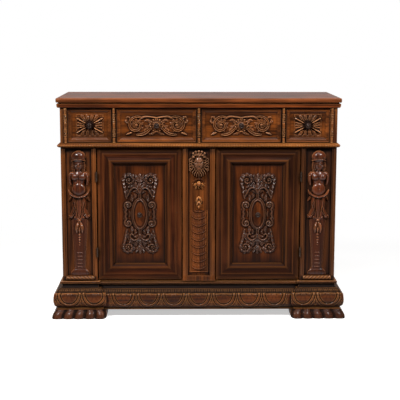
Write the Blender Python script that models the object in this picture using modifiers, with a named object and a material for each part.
"""Carved two-door credenza with four drawers. Metres, +Z up, front towards -Y.

The origin is on the floor at the centre of the footprint.
"""
import math

import bmesh
import bpy
from mathutils import Matrix, Vector

# Clearances
FIT = 0.0003            # between pieces that touch
DRAWER_CLEAR = 0.0015   # beside, above and below a drawer front
BOX_CLEAR = 0.003       # beside a drawer box
DOOR_CLEAR = 0.0026     # at the free edge, top and bottom of a door
HINGE_GAP = 0.0032      # between a door and its pilaster, for the hinge leaves
BOLT_CLEAR = 0.0004     # round a lock bolt in its case
PIN_CLEAR = 0.0006      # round a hinge pin

# Case
CASE_W = 1.416
CASE_D = 0.548
SIDE_T = 0.036
SIDE_STILE_W = 0.075
SIDE_RAIL_H = 0.080
SIDE_PANEL_T = 0.016
SIDE_PANEL_SUNK = 0.008
BACK_T = 0.012
BOTTOM_T = 0.018
SHELF_T = 0.018
SHELF_Z = 0.455
CLEAT_W = 0.018
CLEAT_H = 0.022

# Top, cornice and waist
TOP_T = 0.0225
TOP_SIDE_OVERHANG = 0.0185
TOP_FRONT_OVERHANG = 0.024
TOP_EDGE_ROUND = 0.005
SHADOW_H = 0.006
CORNICE_H = 0.0213
CORNICE_REACH = 0.015
WAIST_H = 0.021
WAIST_REACH = 0.016

# Drawer tier
DRAWER_ZONE_H = 0.1805
DIVIDER_T = 0.020
DIVIDER_X = 0.4335
SPINDLE_R = 0.0072
SPINDLE_IN = 0.0092     # from a side frame's inner face to its spindle
SPINDLE_CLEAR = 0.003
DRAWER_SETBACK = 0.002
DRAWER_FRONT_T = 0.022
DRAWER_MOULD_W = 0.029
DRAWER_SUNK = 0.011
DRAWER_L = 0.440
DRAWER_WALL = 0.010
DRAWER_FLOOR = 0.007
DRAWER_HEADROOM = 0.030

# Door tier
LOWER_H = 0.7012
PILASTER_W = 0.180
PILASTER_T = 0.055
PILASTER_BAND = 0.024
PILASTER_SUNK = 0.024
PILASTER_FOOT = 0.026
PILASTER_HEAD = 0.006
PILASTER_BAR_R = 0.0085
CENTRE_W = 0.167
CENTRE_BAND = 0.028
DOOR_SETBACK = 0.010
DOOR_T = 0.022
DOOR_FRAME_W = 0.078
DOOR_BEAD = 0.008
PANEL_SUNK = 0.012
PANEL_T = 0.008
KNOB_R = 0.013
KNOB_REACH = 0.024
KNOB_STEM = 0.0065

# Hinges and locks
HINGE_H = 0.050
HINGE_FROM_END = 0.150
BARREL_R = 0.0045
BARREL_PROUD = 0.0006
PIN_R = 0.0020
LEAF_T = 0.0010
LEAF_L = 0.026
LOCK_Z = 0.553
LOCK_W = 0.056
LOCK_H = 0.075
LOCK_T = 0.014
BOLT_L = 0.046
BOLT_H = 0.010
BOLT_T = 0.006
BOLT_TRAVEL = 0.011
KEYHOLE_IN = 0.031
KEYHOLE_R = 0.0035

# Base
FOOT_H = 0.0495
NECK_H = 0.012
CUSHION_H = 0.0755
CAVETTO_H = 0.037
GROOVE_H = 0.0075
FILLET_H = 0.011
CORE_PROUD = 0.003      # base core in front of and beside the case
BLOCK_W = 0.186         # width of a corner block at its core
RAIL_SETBACK = 0.020    # front rail behind the corner blocks
LEDGE = 0.001           # height within which two steps of the base count as one ledge
NECK_REACH = 0.027
CUSHION_LOW = 0.028
CUSHION_REACH = 0.044
CUSHION_TOP = 0.038
FILLET_REACH = 0.0115
BACK_RAIL_T = 0.030
FOOT_TOP_REACH = 0.032
FOOT_FLARE = 0.021
FOOT_D = 0.115
FOOT_LOBES = 5
SIDE_LOBES = 2
LOBE_DEPTH = 0.007
REAR_FOOT_W = 0.110

# Carving
FIGURE_CLEAR = 0.004    # over a figure's head
FIGURE_HALF_W = 0.050
FIGURE_DEPTH = 0.052
SCALE_HALF_W = 0.047
SCALE_ROWS = 8
SCALE_THICK = 0.015
DROP_STEM = 0.0085      # thickness of the strip behind the hanging drops
MASK_HALF_W = 0.043
MASK_DEPTH = 0.040
ORNAMENT_W = 0.182
ORNAMENT_H = 0.430
ORNAMENT_THICK = 0.012
DRAWER_ORNAMENT_H = 0.096
LONG_ORNAMENT_W = 0.312
SHORT_ORNAMENT_W = 0.128

# Levels that follow from the sizes
Z_NECK = FOOT_H + NECK_H
Z_CUSHION = Z_NECK + CUSHION_H
Z_CAVETTO = Z_CUSHION + CAVETTO_H
Z_GROOVE = Z_CAVETTO + GROOVE_H
Z_PLINTH = Z_GROOVE + FILLET_H
Z_WAIST = Z_PLINTH + LOWER_H
Z_DRAWERS = Z_WAIST + WAIST_H
Z_CORNICE = Z_DRAWERS + DRAWER_ZONE_H
Z_SHADOW = Z_CORNICE + CORNICE_H
Z_TOP = Z_SHADOW + SHADOW_H
FOOT_REACH = CORE_PROUD + FOOT_TOP_REACH + FOOT_FLARE
FRONT = -(CASE_D - FOOT_REACH) / 2
BACK = FRONT + CASE_D
HALF_W = CASE_W / 2
INNER_X = HALF_W - SIDE_T
CORNER_X = HALF_W - PILASTER_W
BEHIND_PILASTERS = FRONT + PILASTER_T + FIT
BEFORE_BACK = BACK - BACK_T - FIT
CORE_X = HALF_W + CORE_PROUD
BLOCK_X = CORE_X - BLOCK_W
CORE_Y = FRONT - CORE_PROUD

# Finishes: colour, roughness, metallic
WALNUT = ((0.16, 0.062, 0.024), 0.38, 0.0)
WALNUT_DARK = ((0.085, 0.030, 0.014), 0.36, 0.0)
WALNUT_LIGHT = ((0.23, 0.10, 0.038), 0.42, 0.0)
WALNUT_CARVED = ((0.12, 0.045, 0.022), 0.32, 0.0)
SECONDARY = ((0.33, 0.20, 0.10), 0.65, 0.0)
KNOB_WOOD = ((0.05, 0.026, 0.018), 0.30, 0.0)
IRON = ((0.028, 0.026, 0.025), 0.55, 0.9)

for old in list(bpy.data.objects):
    bpy.data.objects.remove(old, do_unlink=True)

PARTS = bpy.data.collections.new("credenza")
TOOLS = bpy.data.collections.new("credenza_tools")
bpy.context.scene.collection.children.link(PARTS)
bpy.context.scene.collection.children.link(TOOLS)


# Building blocks

def put(name, mesh, place, collection):
    """Turn a bmesh into an object at a place."""
    data = bpy.data.meshes.new(name)
    mesh.to_mesh(data)
    mesh.free()
    item = bpy.data.objects.new(name, data)
    item.location = place
    collection.objects.link(item)
    return item


def part(name, mesh, place, finish, smooth=0.0):
    """A named piece with its own finish; edges under the angle are shaded smooth."""
    item = put(name, mesh, place, PARTS)
    colour, roughness, metallic = finish
    look = bpy.data.materials.new(name + "_finish")
    look.use_nodes = True
    shader = look.node_tree.nodes["Principled BSDF"]
    shader.inputs["Base Color"].default_value = (*colour, 1.0)
    shader.inputs["Roughness"].default_value = roughness
    shader.inputs["Metallic"].default_value = metallic
    look.diffuse_color = (*colour, 1.0)
    item.data.materials.append(look)
    if smooth:
        item.data.shade_smooth()
        item.data.set_sharp_from_angle(angle=math.radians(smooth))
    return item


def tool(name, mesh, place=(0.0, 0.0, 0.0)):
    """A shape that only cuts or joins another."""
    item = put(name, mesh, place, TOOLS)
    item.hide_render = True
    item.display_type = "WIRE"
    return item


def combine(item, other, operation, overlapping=False):
    step = item.modifiers.new(operation.lower(), "BOOLEAN")
    step.operation = operation
    step.solver = "EXACT"
    step.object = other
    step.use_self = overlapping


def box(x, y, z):
    """A box between two limits on each axis, as a bmesh about its centre, and that centre."""
    mesh = bmesh.new()
    bmesh.ops.create_cube(mesh, size=1.0)
    bmesh.ops.scale(mesh, vec=(x[1] - x[0], y[1] - y[0], z[1] - z[0]), verts=mesh.verts[:])
    return mesh, Vector(((x[0] + x[1]) / 2, (y[0] + y[1]) / 2, (z[0] + z[1]) / 2))


def board(name, x, y, z, finish, edge=0.0):
    """A box-shaped piece with eased edges."""
    mesh, centre = box(x, y, z)
    item = part(name, mesh, centre, finish)
    if edge:
        ease = item.modifiers.new("eased edges", "BEVEL")
        ease.width = edge
        ease.segments = 2
    return item


def block_tool(name, x, y, z):
    mesh, centre = box(x, y, z)
    return tool(name, mesh, centre)


def mirrored(side, low, high):
    """Limits on X for a piece that stands at low..high on the right, or its mirror."""
    return (low, high) if side > 0 else (-high, -low)


def loft(rings, capped=True):
    """A skin over rings of points, each ring the next section of the form."""
    mesh = bmesh.new()
    loops = [[mesh.verts.new(point) for point in ring] for ring in rings]
    count = len(rings[0])
    for lower, upper in zip(loops, loops[1:]):
        for i in range(count):
            j = (i + 1) % count
            mesh.faces.new((lower[i], lower[j], upper[j], upper[i]))
    if capped:
        mesh.faces.new(list(reversed(loops[0])))
        mesh.faces.new(loops[-1])
        bmesh.ops.recalc_face_normals(mesh, faces=mesh.faces[:])
    return mesh


def three_sided_run(profile, back):
    """A moulding with mitred corners round the two sides and the front of the case.

    The profile is a closed loop of (reach beyond the case, height).
    """
    rings = []
    for x, y, across, forward in (
            (-HALF_W, back, -1, 0), (-HALF_W, FRONT, -1, -1), (HALF_W, FRONT, 1, -1), (HALF_W, back, 1, 0)):
        rings.append([(x + across * reach, y + forward * reach, z) for reach, z in profile])
    return loft(rings)


def arc(count, start, end):
    """Angles at an even step, both ends included, in radians."""
    step = (end - start) / count
    return [math.radians(start + step * i) for i in range(count + 1)]


def ellipsoid(mesh, centre, radii, tilt=0.0, around=6, along=4):
    """An egg shape whose long axis leans from +Z towards +X by the tilt in degrees."""
    shape = Matrix.Translation(centre) @ Matrix.Rotation(math.radians(tilt), 4, "Y")
    shape = shape @ Matrix.Diagonal((*radii, 1.0))
    bmesh.ops.create_uvsphere(mesh, u_segments=around, v_segments=along, radius=1.0, matrix=shape)


def disc(mesh, centre, radius, depth, sides=10):
    """A round block whose axis runs front to back."""
    shape = Matrix.Translation(centre) @ Matrix.Rotation(math.pi / 2, 4, "X")
    bmesh.ops.create_cone(mesh, cap_ends=True, segments=sides, radius1=radius, radius2=radius,
                          depth=depth, matrix=shape)


def post(mesh, centre, radius, height, sides=8):
    """A round block whose axis is upright."""
    bmesh.ops.create_cone(mesh, cap_ends=True, segments=sides, radius1=radius, radius2=radius,
                          depth=height, matrix=Matrix.Translation(centre))


def hoop(mesh, centre, across, up, tube, sides=10):
    """An oval ring of round section, standing in the XZ plane."""
    bpy.ops.mesh.primitive_torus_add(major_radius=1.0, minor_radius=tube / across, major_segments=sides,
                                     minor_segments=4)
    ring = bpy.context.object
    shape = Matrix.Translation(centre) @ Matrix.Diagonal((across, across, up, 1.0))
    shape = shape @ Matrix.Rotation(math.pi / 2, 4, "X")
    data = ring.data
    data.transform(shape)
    mesh.from_mesh(data)
    bpy.data.objects.remove(ring, do_unlink=True)


def turned(name, profile, place, steps, finish=None):
    """A turned piece: a profile of (radius, height), top to bottom, spun round Z."""
    mesh = bmesh.new()
    points = [mesh.verts.new((radius, 0.0, z)) for radius, z in profile]
    for upper, lower in zip(points, points[1:]):
        mesh.edges.new((upper, lower))
    item = part(name, mesh, place, finish) if finish else tool(name, mesh, place)
    spin = item.modifiers.new("turned", "SCREW")
    spin.steps = steps
    spin.render_steps = steps
    spin.use_merge_vertices = True
    spin.merge_threshold = 0.00001
    spin.use_smooth_shade = bool(finish)
    return item


def axis_point(name, place):
    """An empty on a joint's axis, which carries the moving pieces."""
    point = bpy.data.objects.new(name, None)
    point.location = place
    PARTS.objects.link(point)
    return point


def carry(point, items):
    for item in items:
        item.parent = point
        item.location = item.location - point.location


# Top, cornice and waist moulding

top_board = board("top_board", (-HALF_W - TOP_SIDE_OVERHANG, HALF_W + TOP_SIDE_OVERHANG),
                  (FRONT - TOP_FRONT_OVERHANG, BACK), (Z_TOP + FIT, Z_TOP + TOP_T), WALNUT_DARK,
                  TOP_EDGE_ROUND)

shadow_reach = CORNICE_REACH * 0.4
cornice_profile = [(-SIDE_T, Z_CORNICE + FIT), (CORNICE_REACH * 0.5, Z_CORNICE + FIT)]
for angle in arc(5, 0, 90):
    out = CORNICE_REACH * (0.62 + 0.38 * math.sin(angle))
    cornice_profile.append((out, Z_CORNICE + CORNICE_H * (0.06 + 0.70 * (1.0 - math.cos(angle)))))
cornice_profile += [(CORNICE_REACH, Z_SHADOW), (shadow_reach, Z_SHADOW), (shadow_reach, Z_TOP), (-SIDE_T, Z_TOP)]
part("cornice_moulding", three_sided_run(cornice_profile, BACK), (0, 0, 0), WALNUT)

waist_profile = [(FIT, Z_WAIST), (WAIST_REACH * 0.6, Z_WAIST)]
for angle in arc(5, -60, 75):
    waist_profile.append((WAIST_REACH * (0.3 + 0.7 * math.cos(angle)),
                          Z_WAIST + WAIST_H * (0.44 + 0.42 * math.sin(angle))))
waist_profile += [(WAIST_REACH * 0.25, Z_DRAWERS), (FIT, Z_DRAWERS)]
part("waist_moulding", three_sided_run(waist_profile, BACK), (0, 0, 0), WALNUT_LIGHT)


# Side frames with sunk panels, back, boards, shelf

def spindle_profile():
    """Half-spindle outline, top to bottom: beads at the ends, two long vases that meet at a bead."""
    length = DRAWER_ZONE_H - 2 * SPINDLE_CLEAR
    outline = [(0.0, 0.5), (0.80, 0.5), (0.80, 0.46), (0.45, 0.45)]
    for bead in (0.41, 0.34):
        outline += [(0.85, bead + 0.015), (0.85, bead - 0.015), (0.45, bead - 0.035)]
    outline += [(0.62, 0.22), (1.0, 0.10), (0.55, 0.035), (0.9, 0.0)]
    lower = [(radius, -height) for radius, height in reversed(outline[:-1])]
    return [(radius * SPINDLE_R, height * length) for radius, height in outline + lower]


def join_spindle(item, x):
    middle = Z_DRAWERS + DRAWER_ZONE_H / 2
    rod = turned(item.name + "_spindle", spindle_profile(), (x, FRONT, middle), 8)
    combine(item, rod, "UNION")


def side_wall(prefix, side):
    frame = board(prefix + "_side_frame", mirrored(side, INNER_X, HALF_W), (FRONT, BACK),
                  (Z_PLINTH + FIT, Z_CORNICE), WALNUT)
    notch = block_tool(prefix + "_notch", mirrored(side, INNER_X - SIDE_T, HALF_W + SIDE_T),
                       (FRONT - PILASTER_T, BEHIND_PILASTERS), (FOOT_H, Z_WAIST))
    combine(frame, notch, "DIFFERENCE")
    opening_y = (BEHIND_PILASTERS + SIDE_STILE_W, BACK - SIDE_STILE_W)
    opening_z = (Z_PLINTH + SIDE_RAIL_H, Z_WAIST - SIDE_RAIL_H)
    hole = block_tool(prefix + "_panel_opening", mirrored(side, INNER_X - SIDE_T, HALF_W + SIDE_T),
                      opening_y, opening_z)
    combine(frame, hole, "DIFFERENCE")
    cleat = block_tool(prefix + "_cleat", mirrored(side, INNER_X - CLEAT_W, INNER_X + SIDE_T / 4),
                       (BEHIND_PILASTERS + CLEAT_W, BEFORE_BACK - CLEAT_W),
                       (SHELF_Z - FIT - CLEAT_H, SHELF_Z - FIT))
    combine(frame, cleat, "UNION")
    join_spindle(frame, side * (INNER_X + SPINDLE_IN))

    outer = HALF_W - SIDE_PANEL_SUNK
    field = SIDE_PANEL_T / 3
    rings = []
    for inset, x in ((0, outer - SIDE_PANEL_T), (0, outer - field), (SIDE_STILE_W / 3, outer)):
        low_y, high_y = opening_y[0] + FIT + inset, opening_y[1] - FIT - inset
        low_z, high_z = opening_z[0] + FIT + inset, opening_z[1] - FIT - inset
        rings.append([(side * x, low_y, low_z), (side * x, high_y, low_z),
                      (side * x, high_y, high_z), (side * x, low_y, high_z)])
    part(prefix + "_side_panel", loft(rings), (0, 0, 0), WALNUT)


side_wall("left", -1)
side_wall("right", 1)

clear_x = (-INNER_X + FIT, INNER_X - FIT)
board("back_panel", clear_x, (BACK - BACK_T, BACK), (Z_PLINTH + FIT, Z_TOP), SECONDARY)
board("bottom_board", clear_x, (BEHIND_PILASTERS, BACK - BACK_RAIL_T - FIT), (Z_PLINTH - BOTTOM_T, Z_PLINTH),
      SECONDARY)
board("dust_board", clear_x, (FRONT, BEFORE_BACK), (Z_WAIST + FIT, Z_DRAWERS), SECONDARY)
board("shelf", clear_x, (BEHIND_PILASTERS, BEFORE_BACK), (SHELF_Z, SHELF_Z + SHELF_T), SECONDARY)

for divider_name, divider_x in (("left", -DIVIDER_X), ("centre", 0.0), ("right", DIVIDER_X)):
    divider = board("drawer_divider_" + divider_name, (divider_x - DIVIDER_T / 2, divider_x + DIVIDER_T / 2),
                    (FRONT, BEFORE_BACK), (Z_DRAWERS + FIT, Z_CORNICE), WALNUT)
    join_spindle(divider, divider_x)


# Pilasters with their sunk fields

RECESS_Z = (Z_PLINTH + PILASTER_FOOT, Z_WAIST - PILASTER_HEAD)
FIELD_Y = FRONT + PILASTER_SUNK


def pilaster(name, x, band):
    post_board = board(name, x, (FRONT, FRONT + PILASTER_T), (Z_PLINTH + FIT, Z_WAIST - FIT), WALNUT_LIGHT)
    field = block_tool(name + "_field", (x[0] + band, x[1] - band), (FRONT - PILASTER_T, FIELD_Y), RECESS_Z)
    combine(post_board, field, "DIFFERENCE")
    return post_board


def add_bar(post_board, x, band):
    """The rounded bar across the foot of a corner pilaster."""
    mesh = bmesh.new()
    length = x[1] - x[0] - band
    turn = Matrix.Rotation(math.pi / 2, 4, "Y")
    bmesh.ops.create_cone(mesh, cap_ends=True, segments=12, radius1=PILASTER_BAR_R, radius2=PILASTER_BAR_R,
                          depth=length, matrix=turn)
    middle = Z_PLINTH + FIT + PILASTER_FOOT / 2
    bar = tool(post_board.name + "_bar", mesh, ((x[0] + x[1]) / 2, FRONT, middle))
    combine(post_board, bar, "UNION")


for pilaster_name, pilaster_x in (("left_pilaster", (-HALF_W, -CORNER_X)), ("right_pilaster", (CORNER_X, HALF_W))):
    corner = pilaster(pilaster_name, pilaster_x, PILASTER_BAND)
    add_bar(corner, pilaster_x, PILASTER_BAND)

centre = pilaster("centre_pilaster", (-CENTRE_W / 2, CENTRE_W / 2), CENTRE_BAND)
BOLT_Y = FRONT + DOOR_SETBACK + DOOR_T + FIT + LOCK_T / 2
for mortise_side in (-1, 1):
    mortise = block_tool("mortise", mirrored(mortise_side, CENTRE_W / 2 - BOLT_TRAVEL, CENTRE_W / 2 + BOLT_TRAVEL),
                         (BOLT_Y - BOLT_T, BOLT_Y + BOLT_T), (LOCK_Z - BOLT_H, LOCK_Z + BOLT_H))
    combine(centre, mortise, "DIFFERENCE")


# Herm figures: a stack of half-round sections with the modelled parts joined on

FIGURE_H = RECESS_Z[1] - RECESS_Z[0] - FIT - FIGURE_CLEAR
FIGURE_FORM = (
    # height, half width, depth, as shares of the figure's own sizes
    (0.000, 0.98, 0.50), (0.016, 0.96, 0.50), (0.028, 0.80, 0.38), (0.044, 0.76, 0.34), (0.245, 0.79, 0.42),
    (0.350, 0.82, 0.50), (0.440, 0.84, 0.58), (0.456, 0.86, 0.64), (0.464, 0.92, 0.86), (0.505, 0.88, 0.90),
    (0.580, 0.78, 0.82), (0.620, 0.80, 0.82), (0.640, 0.86, 0.86), (0.656, 0.80, 0.80), (0.690, 0.70, 0.78),
    (0.725, 0.70, 0.74), (0.765, 0.84, 0.80), (0.800, 1.00, 0.76), (0.822, 0.90, 0.66), (0.834, 0.50, 0.60),
    (0.846, 0.33, 0.58), (0.858, 0.42, 0.80), (0.880, 0.58, 0.98), (0.912, 0.72, 1.00), (0.945, 0.74, 1.00),
    (0.972, 0.66, 0.94), (0.990, 0.46, 0.82), (1.000, 0.20, 0.58))


def figure(name, x):
    rings = []
    for height, width, depth in FIGURE_FORM:
        half, out = width * FIGURE_HALF_W, depth * FIGURE_DEPTH
        rings.append([(half * math.cos(a), -out * math.sin(a), height * FIGURE_H) for a in arc(8, 0, 180)])
    place = (x, FIELD_Y - FIT, RECESS_Z[0] + FIT)
    herm = part(name, loft(rings), place, WALNUT_CARVED, 50)
    extra = bmesh.new()
    wide, deep = FIGURE_HALF_W, FIGURE_DEPTH
    for s in (-1, 1):
        ellipsoid(extra, (s * wide * 0.34, -deep * 0.74, FIGURE_H * 0.773), (wide * 0.29, deep * 0.32, wide * 0.32),
                  0, 8, 5)
        ellipsoid(extra, (s * wide * 0.62, -deep * 0.62, FIGURE_H * 0.895), (wide * 0.16, deep * 0.25, wide * 0.44))
        ellipsoid(extra, (s * wide * 0.62, -deep * 0.80, FIGURE_H * 0.478), (wide * 0.26, deep * 0.24, wide * 0.22))
    ellipsoid(extra, (0, -deep * 0.98, FIGURE_H * 0.897), (wide * 0.09, deep * 0.14, wide * 0.17))
    ellipsoid(extra, (0, -deep * 0.52, FIGURE_H * 0.418), (wide * 0.34, deep * 0.24, wide * 0.50))
    for bead, size in ((0.352, 0.15), (0.330, 0.12), (0.310, 0.10), (0.459, 0.14)):
        ellipsoid(extra, (0, -deep * (0.44 + size), FIGURE_H * bead), (wide * size, deep * size, wide * size))
    combine(herm, tool(name + "_modelling", extra, place), "UNION", True)


FIGURE_X = HALF_W - PILASTER_W / 2
figure("left_caryatid", -FIGURE_X)
figure("right_caryatid", FIGURE_X)


# Mask, hanging drops and the panel of scales on the centre pilaster

def centre_carving():
    tall = FIGURE_H
    scale_top, scale_foot = tall * 0.506, tall * 0.040
    row = (scale_top - scale_foot) / SCALE_ROWS
    rings = []
    for i in range(SCALE_ROWS):
        low = scale_foot + row * i
        for depth, z in ((SCALE_THICK, low), (SCALE_THICK * 0.55, low + row * 0.97)):
            half = SCALE_HALF_W
            rings.append([(-half, 0, z), (half, 0, z), (half, -depth * 0.6, z), (half * 0.5, -depth, z),
                          (-half * 0.5, -depth, z), (-half, -depth * 0.6, z)])
    place = (0, FIELD_Y - FIT, RECESS_Z[0] + FIT)
    carving = part("centre_mask", loft(rings), place, WALNUT_CARVED, 50)
    extra, strip_centre = box((-0.28 * SCALE_HALF_W, 0.28 * SCALE_HALF_W), (-DROP_STEM, DROP_STEM),
                              (scale_top - row, tall * 0.90))
    bmesh.ops.translate(extra, vec=strip_centre, verts=extra.verts[:])
    wide, deep = MASK_HALF_W, MASK_DEPTH
    eye = tall - wide * 1.25
    ellipsoid(extra, (0, -deep * 0.15, eye), (wide * 0.80, deep * 0.80, wide * 1.25), 0, 10, 6)
    ellipsoid(extra, (0, -deep * 0.12, eye - wide * 0.75), (wide * 0.72, deep * 0.55, wide * 0.85), 0, 8, 5)
    ellipsoid(extra, (0, -deep * 0.85, eye - wide * 0.15), (wide * 0.15, deep * 0.24, wide * 0.34))
    for s in (-1, 1):
        ellipsoid(extra, (s * wide * 0.34, -deep * 0.78, eye + wide * 0.28), (wide * 0.36, deep * 0.16, wide * 0.14),
                  s * -12)
        for tilt, out, down in ((150, 0.24, 1.24), (128, 0.55, 0.98), (105, 0.72, 0.55), (80, 0.74, 0.05),
                                (52, 0.66, -0.42)):
            ellipsoid(extra, (s * wide * out, -deep * 0.22, eye - wide * down),
                      (wide * 0.24, deep * 0.32, wide * 0.50), s * tilt)
    for drop, size in ((0.727, 0.062), (0.582, 0.056)):
        middle = tall * drop
        for s in (-1, 1):
            ellipsoid(extra, (s * wide * 0.26, -0.006, middle), (wide * 0.26, 0.011, tall * size * 0.62), s * -14)
        ellipsoid(extra, (0, -0.009, middle - tall * size * 0.30), (wide * 0.16, 0.012, tall * size * 0.40))
    combine(carving, tool("centre_mask_modelling", extra, place), "UNION", True)
    trim = block_tool("centre_mask_back", (-CENTRE_W, CENTRE_W), (FIELD_Y - FIT, FIELD_Y + PILASTER_T),
                      (0.0, Z_CORNICE))
    combine(carving, trim, "DIFFERENCE")


centre_carving()


# Knobs

def knob(name, x, y, z):
    """A turned knob that points forward from the face it is screwed to."""
    outline = [(0.0, 1.0), (0.45, 0.985), (0.85, 0.88), (1.0, 0.68), (0.88, 0.48)]
    profile = [(radius * KNOB_R, height * KNOB_REACH) for radius, height in outline]
    profile += [(KNOB_STEM, 0.34 * KNOB_REACH), (KNOB_STEM, 0.14 * KNOB_REACH), (KNOB_STEM * 1.4, 0.0), (0.0, 0.0)]
    item = turned(name, profile, (x, y - FIT, z), 10, KNOB_WOOD)
    item.rotation_euler = (math.pi / 2, 0.0, 0.0)
    return item


# Drawers: a sunk, mitred front with applied carving, a box and a knob

def long_ornament(extra, thick):
    """Two foliate scrolls that spring from a rosette."""
    half, up = LONG_ORNAMENT_W / 2, DRAWER_ORNAMENT_H / 2
    tube = thick * 0.62
    for s in (-1, 1):
        hoop(extra, (s * half * 0.68, 0, 0), half * 0.26, up * 0.80, tube)
        ellipsoid(extra, (s * half * 0.66, 0, -up * 0.05), (half * 0.10, thick * 0.9, up * 0.34), s * 60)
        for out, high, tilt, size in ((0.90, -0.62, 140, 0.36), (0.88, 0.58, 40, 0.36), (0.38, 0.40, -60, 0.46),
                                      (0.34, -0.48, 60, 0.50)):
            ellipsoid(extra, (s * half * out, 0, up * high), (up * 0.17, thick * 0.8, up * size), s * tilt)
    ellipsoid(extra, (0, 0, 0), (half * 0.20, thick * 0.75, up * 0.86), 0, 8, 5)


def short_ornament(extra, thick):
    """A square leaf boss with four diagonal ribs."""
    half, up = SHORT_ORNAMENT_W / 2, DRAWER_ORNAMENT_H / 2
    lean = math.degrees(math.atan2(half, up))
    for s in (-1, 1):
        for t in (-1, 1):
            ellipsoid(extra, (s * half * 0.56, 0, t * up * 0.56), (up * 0.14, thick, up * 0.62), s * t * lean)
        ellipsoid(extra, (s * half * 0.56, 0, 0), (half * 0.42, thick * 0.75, up * 0.46))
        ellipsoid(extra, (0, 0, s * up * 0.58), (half * 0.50, thick * 0.75, up * 0.36))


def drawer(name, x, ornament):
    low_x, high_x = x[0] + DRAWER_CLEAR, x[1] - DRAWER_CLEAR
    low_z, high_z = Z_DRAWERS + FIT + DRAWER_CLEAR, Z_CORNICE - DRAWER_CLEAR
    face = FRONT + DRAWER_SETBACK
    rings = []
    for inset, depth in ((0.0, DRAWER_FRONT_T), (0.0, 0.0), (0.16, 0.0), (0.24, 0.25), (0.50, 0.32), (0.86, 0.94),
                         (1.0, 1.0)):
        step = inset * DRAWER_MOULD_W
        y = face + (depth if depth == DRAWER_FRONT_T else depth * DRAWER_SUNK)
        rings.append([(low_x + step, y, low_z + step), (high_x - step, y, low_z + step),
                      (high_x - step, y, high_z - step), (low_x + step, y, high_z - step)])
    front = part(name + "_front", loft(rings), (0, 0, 0), WALNUT_LIGHT)
    middle = ((low_x + high_x) / 2, face + DRAWER_SUNK, (low_z + high_z) / 2)
    extra = bmesh.new()
    ornament(extra, DRAWER_SUNK * 0.75)
    bmesh.ops.translate(extra, vec=(0, -DRAWER_SUNK * 0.25, 0), verts=extra.verts[:])
    seat, root = DRAWER_SUNK * 1.2, (DRAWER_FRONT_T - DRAWER_SUNK) * 0.4
    disc(extra, (0, (root - seat) / 2, 0), KNOB_STEM * 1.9, seat + root)
    combine(front, tool(name + "_carving", extra, middle), "UNION", True)

    rear = face + DRAWER_FRONT_T + FIT
    outer_x = (x[0] + BOX_CLEAR, x[1] - BOX_CLEAR)
    box_z = (Z_DRAWERS + FIT, Z_CORNICE - DRAWER_HEADROOM)
    rings = []
    for wall, z in ((0.0, box_z[0]), (0.0, box_z[1]), (DRAWER_WALL, box_z[1]),
                    (DRAWER_WALL, box_z[0] + DRAWER_FLOOR)):
        rings.append([(outer_x[0] + wall, rear + wall, z), (outer_x[1] - wall, rear + wall, z),
                      (outer_x[1] - wall, rear + DRAWER_L - wall, z), (outer_x[0] + wall, rear + DRAWER_L - wall, z)])
    tray = part(name + "_box", loft(rings), (0, 0, 0), SECONDARY)
    pull = knob(name + "_knob", middle[0], middle[1] - seat, middle[2])
    carry(axis_point(name + "_slide", middle), (front, tray, pull))


half_divider = DIVIDER_T / 2
drawer("left_short_drawer", (-INNER_X, -DIVIDER_X - half_divider), short_ornament)
drawer("left_long_drawer", (-DIVIDER_X + half_divider, -half_divider), long_ornament)
drawer("right_long_drawer", (half_divider, DIVIDER_X - half_divider), long_ornament)
drawer("right_short_drawer", (DIVIDER_X + half_divider, INNER_X), short_ornament)


# Doors: mitred frame, panel, carved cartouche, knob, hinges and lock

DOOR_X = (CENTRE_W / 2 + DOOR_CLEAR, CORNER_X - HINGE_GAP)
DOOR_Z = (Z_PLINTH + DOOR_CLEAR, Z_WAIST - DOOR_CLEAR)
DOOR_FACE = FRONT + DOOR_SETBACK
PIN_X = CORNER_X - HINGE_GAP / 2
PIN_Y = FRONT - BARREL_R - BARREL_PROUD
DOOR_FORM = (
    # share of the frame's width, height over the flat border in shares of the bead; below it in shares of the sink
    (0.00, -0.22), (0.04, 0.0), (0.21, 0.0), (0.25, -0.30), (0.32, -0.38), (0.46, -0.15), (0.58, 0.30), (0.68, 0.80),
    (0.75, 1.0), (0.81, 0.95), (0.86, 0.50), (0.885, -0.20), (0.95, -0.35), (1.0, -1.0))


def door_frame(name, width, height, place):
    """A quarter of the frame, mitred at its corner, mirrored twice."""
    profile = []
    for share, rise in DOOR_FORM:
        lift = rise * DOOR_BEAD if rise > 0 else rise * PANEL_SUNK
        profile.append((share * DOOR_FRAME_W, -lift))
    profile += [(DOOR_FRAME_W, DOOR_T), (0.0, DOOR_T)]
    half_w, half_h = width / 2, height / 2
    rings = [[(-half_w + inset, y, 0.0) for inset, y in profile],
             [(-half_w + inset, y, half_h - inset) for inset, y in profile],
             [(0.0, y, half_h - inset) for inset, y in profile]]
    frame = part(name, loft(rings, False), place, WALNUT_DARK)
    flip = frame.modifiers.new("mirrored", "MIRROR")
    flip.use_axis = (True, False, True)
    flip.merge_threshold = 0.00001
    return frame


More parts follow.
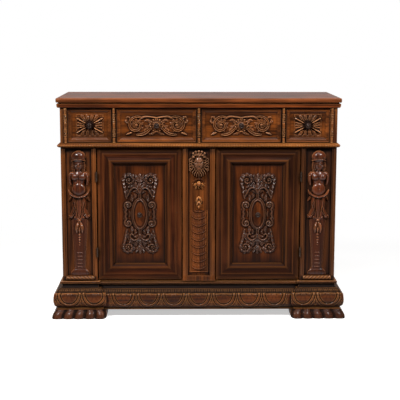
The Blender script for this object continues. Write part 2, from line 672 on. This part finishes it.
def cartouche(name, place):
    """The door carving: an oval shield in strapwork, with foliage over and under it, flat behind."""
    half, up, thick = ORNAMENT_W / 2, ORNAMENT_H / 2, ORNAMENT_THICK
    bed = thick * 0.11
    body = bmesh.new()
    ellipsoid(body, (0, bed, 0), (half * 0.50, thick * 0.9, up * 0.44), 0, 14, 6)
    carved = part(name, body, place, WALNUT_CARVED, 50)
    extra = bmesh.new()
    hoop(extra, (0, bed / 2, 0), half * 0.48, up * 0.42, thick * 0.45, 14)
    disc(extra, (0, 0, 0), KNOB_STEM * 1.9, thick * 2.4)
    for s in (-1, 1):
        for t in (-1, 1):
            disc(extra, (s * half * 0.70, bed / 3, t * up * 0.24), half * 0.27, thick * 1.3)
            for out, high, tilt, wide, long in ((0.46, 0.50, -40, 0.19, 0.46), (0.66, 0.80, 40, 0.22, 0.42),
                                                (0.28, 0.80, -35, 0.20, 0.46)):
                ellipsoid(extra, (s * half * out, bed, t * up * high), (half * wide, thick * 0.8, half * long),
                          s * t * tilt)
        ellipsoid(extra, (s * half * 0.80, bed, 0), (half * 0.14, thick * 0.7, up * 0.22))
        ellipsoid(extra, (0, bed, s * up * 0.66), (half * 0.24, thick * 0.9, up * 0.30))
    combine(carved, tool(name + "_modelling", extra, place), "UNION", True)
    rear = block_tool(name + "_rear", (place[0] - ORNAMENT_W, place[0] + ORNAMENT_W),
                      (place[1], place[1] + 4 * ORNAMENT_THICK), (place[2] - ORNAMENT_H, place[2] + ORNAMENT_H))
    combine(carved, rear, "DIFFERENCE")
    return carved


def hinge(prefix, side, z):
    """A butt hinge: the case leaf holds the pin, the door leaf turns on it."""
    knuckle = HINGE_H / 3
    first_y = PIN_Y + BARREL_R + FIT
    leaf_y = (first_y, first_y + LEAF_L)
    whole = (z - HINGE_H / 2, z + HINGE_H / 2)
    inside = LEAF_T / 4
    case_x = mirrored(side, PIN_X + FIT / 2, PIN_X + FIT / 2 + LEAF_T)
    door_x = mirrored(side, PIN_X - FIT / 2 - LEAF_T, PIN_X - FIT / 2)

    case_leaf = board(prefix + "_case_leaf", case_x, leaf_y, whole, IRON)
    door_leaf = board(prefix + "_door_leaf", door_x, leaf_y, whole, IRON)
    barrel = bmesh.new()
    post(barrel, (side * PIN_X, PIN_Y, z), PIN_R, HINGE_H - knuckle)
    for end in (-1, 1):
        post(barrel, (side * PIN_X, PIN_Y, z + end * knuckle), BARREL_R, knuckle - FIT)
        low = z + end * knuckle - knuckle / 2 + FIT / 2
        tab, tab_centre = box(case_x, (PIN_Y, first_y + inside), (low + inside, low + knuckle - FIT - inside))
        bmesh.ops.translate(tab, vec=tab_centre, verts=tab.verts[:])
        copy = bpy.data.meshes.new("tab")
        tab.to_mesh(copy)
        tab.free()
        barrel.from_mesh(copy)
        bpy.data.meshes.remove(copy)
    combine(case_leaf, tool(prefix + "_case_barrel", barrel), "UNION", True)

    middle, middle_centre = box(door_x, (PIN_Y, first_y + inside),
                                (z - knuckle / 2 + FIT / 2 + inside, z + knuckle / 2 - FIT / 2 - inside))
    bmesh.ops.translate(middle, vec=middle_centre, verts=middle.verts[:])
    post(middle, (side * PIN_X, PIN_Y, z), BARREL_R, knuckle - FIT)
    combine(door_leaf, tool(prefix + "_door_barrel", middle), "UNION", True)
    bore = bmesh.new()
    post(bore, (side * PIN_X, PIN_Y, z), PIN_R + PIN_CLEAR, HINGE_H)
    combine(door_leaf, tool(prefix + "_bore", bore), "DIFFERENCE")
    return door_leaf


def lock(prefix, side):
    """A rim lock on the back of the door with a bolt that slides towards the centre pilaster."""
    edge = DOOR_X[0] + DOOR_CLEAR
    behind = DOOR_FACE + DOOR_T + FIT
    case = board(prefix + "_lock_case", mirrored(side, edge, edge + LOCK_W), (behind, behind + LOCK_T),
                 (LOCK_Z - LOCK_H / 2, LOCK_Z + LOCK_H / 2), IRON)
    half_t, half_h = BOLT_T / 2, BOLT_H / 2
    pocket = block_tool(prefix + "_bolt_way", mirrored(side, edge - BOLT_L, edge + BOLT_L + BOLT_CLEAR),
                        (BOLT_Y - half_t - BOLT_CLEAR, BOLT_Y + half_t + BOLT_CLEAR),
                        (LOCK_Z - half_h - BOLT_CLEAR, LOCK_Z + half_h + BOLT_CLEAR))
    combine(case, pocket, "DIFFERENCE")
    bolt = board(prefix + "_lock_bolt", mirrored(side, edge, edge + BOLT_L), (BOLT_Y - half_t, BOLT_Y + half_t),
                 (LOCK_Z - half_h, LOCK_Z + half_h), IRON)
    return case, bolt


def door(prefix, side):
    width, height = DOOR_X[1] - DOOR_X[0], DOOR_Z[1] - DOOR_Z[0]
    middle_x = side * (DOOR_X[0] + DOOR_X[1]) / 2
    middle_z = (DOOR_Z[0] + DOOR_Z[1]) / 2
    frame = door_frame(prefix + "_frame", width, height, (middle_x, DOOR_FACE, middle_z))
    keyhole = bmesh.new()
    disc(keyhole, (side * (DOOR_X[0] + KEYHOLE_IN), DOOR_FACE, LOCK_Z), KEYHOLE_R, DOOR_T * 4)
    combine(frame, tool(prefix + "_keyhole", keyhole), "DIFFERENCE")
    inset = DOOR_FRAME_W + FIT
    field = DOOR_FACE + PANEL_SUNK
    panel = board(prefix + "_panel", (middle_x - width / 2 + inset, middle_x + width / 2 - inset),
                  (field, field + PANEL_T), (DOOR_Z[0] + inset, DOOR_Z[1] - inset), WALNUT)
    carved = cartouche(prefix + "_ornament", (middle_x, field - FIT, middle_z))
    pull = knob(prefix + "_knob", middle_x, field - FIT - ORNAMENT_THICK * 1.2, middle_z)
    leaves = [hinge(prefix + "_lower_hinge", side, DOOR_Z[0] + HINGE_FROM_END),
              hinge(prefix + "_upper_hinge", side, DOOR_Z[1] - HINGE_FROM_END)]
    case, bolt = lock(prefix, side)
    pin = axis_point(prefix + "_pin", Vector((side * PIN_X, PIN_Y, middle_z)))
    carry(pin, (frame, panel, carved, pull, case, *leaves))
    slide = axis_point(prefix + "_bolt_slide", Vector((side * DOOR_X[0], BOLT_Y, LOCK_Z)))
    carry(slide, (bolt,))
    carry(pin, (slide,))


door("left_door", -1)
door("right_door", 1)


# Base: corner plinths that run back along the sides, rails and feet

def base_profile():
    """Reach beyond the base's core and height, from the neck up to the fillet under the case."""
    outline = [(NECK_REACH, FOOT_H + FIT), (NECK_REACH, Z_NECK)]
    for angle in arc(6, -80, 62):
        share = (math.sin(angle) + 1) / 2
        low = CUSHION_LOW + (CUSHION_TOP - CUSHION_LOW) * share
        outline.append((low + (CUSHION_REACH - low) * math.cos(angle), Z_NECK + CUSHION_H * (0.03 + 0.97 * share)))
    outline.append((CUSHION_TOP * 0.97, Z_CUSHION))
    for angle in arc(4, 8, 90):
        outline.append((CUSHION_TOP * 0.95 * (1 - math.sin(angle)), Z_CUSHION + CAVETTO_H * (1 - math.cos(angle))))
    outline += [(0.0, Z_GROOVE), (FILLET_REACH, Z_GROOVE), (FILLET_REACH, Z_PLINTH)]
    return outline


def plinth(prefix, side):
    rings = []
    for reach, z in base_profile():
        outer, inner, front = CORE_X + reach, BLOCK_X - reach, CORE_Y - reach
        plan = ((inner, FRONT + PILASTER_T), (inner, front), (outer, front), (outer, BACK), (INNER_X, BACK),
                (INNER_X, FRONT + PILASTER_T))
        rings.append([(side * x, y, z) for x, y in plan])
    part(prefix + "_plinth", loft(rings), (0, 0, 0), WALNUT)


plinth("left", -1)
plinth("right", 1)

rail_rings = []
base_outline = base_profile()
for rail_reach, rail_z in base_outline:
    # the rail's ends stay clear of the ledges on the blocks, which are almost level
    end_reach = max(reach for reach, z in base_outline if abs(z - rail_z) < LEDGE)
    rail_x = BLOCK_X - end_reach - FIT
    rail_y = CORE_Y + RAIL_SETBACK - rail_reach
    rail_rings.append([(-rail_x, rail_y, rail_z), (rail_x, rail_y, rail_z), (rail_x, FRONT + PILASTER_T, rail_z),
                       (-rail_x, FRONT + PILASTER_T, rail_z)])
part("base_rail_front", loft(rail_rings), (0, 0, 0), WALNUT)
board("base_rail_back", clear_x, (BACK - BACK_RAIL_T, BACK), (FOOT_H + FIT, Z_PLINTH), SECONDARY)


def foot_outline(flare, bulge, depth):
    """One section of a front foot on the right: lobes along its front and its outer side."""
    outer = CORE_X + FOOT_TOP_REACH + flare
    inner = BLOCK_X - FOOT_TOP_REACH - bulge
    front = CORE_Y - FOOT_TOP_REACH - flare
    back = CORE_Y - FOOT_TOP_REACH + FOOT_D
    points = [(inner, back), (inner, front + LOBE_DEPTH * 2.2)]
    per_lobe = 4
    for i in range(FOOT_LOBES * per_lobe + 1):
        swell = math.sin(math.pi * (i % per_lobe) / per_lobe)
        x = inner + (outer - inner) * (0.02 + 0.98 * i / (FOOT_LOBES * per_lobe))
        points.append((x, front + depth * (1 - swell)))
    for i in range(1, SIDE_LOBES * per_lobe):
        swell = math.sin(math.pi * (i % per_lobe) / per_lobe)
        y = front + (back - front) * i / (SIDE_LOBES * per_lobe)
        points.append((outer - depth * (1 - swell), y))
    points.append((outer, back))
    return points


FOOT_FORM = ((0.0, 0.90, 0.5, 0.7), (0.06, 1.0, 0.7, 0.9), (0.30, 0.86, 0.85, 1.0), (0.62, 0.42, 0.60, 0.8),
             (0.86, 0.10, 0.15, 0.35), (1.0, 0.0, 0.0, 0.0))


def front_foot(prefix, side):
    rings = []
    for height, flare, bulge, lobe in FOOT_FORM:
        outline = foot_outline(flare * FOOT_FLARE, bulge * FOOT_FLARE * 0.7, lobe * LOBE_DEPTH)
        rings.append([(side * x, y, height * FOOT_H) for x, y in outline])
    part(prefix + "_front_foot", loft(rings), (0, 0, 0), WALNUT, 40)


def rear_foot(prefix, side):
    rings = []
    for height, flare, bulge, lobe in FOOT_FORM:
        outer = CORE_X + FOOT_TOP_REACH + flare * FOOT_FLARE
        inner = CORE_X + FOOT_TOP_REACH - REAR_FOOT_W - bulge * FOOT_FLARE * 0.4
        front = BACK - FOOT_D - bulge * FOOT_FLARE * 0.4
        plan = ((inner, front), (outer, front), (outer, BACK), (inner, BACK))
        rings.append([(side * x, y, height * FOOT_H) for x, y in plan])
    part(prefix + "_rear_foot", loft(rings), (0, 0, 0), WALNUT_DARK)


for foot_prefix, foot_side in (("left", -1), ("right", 1)):
    front_foot(foot_prefix, foot_side)
    rear_foot(foot_prefix, foot_side)
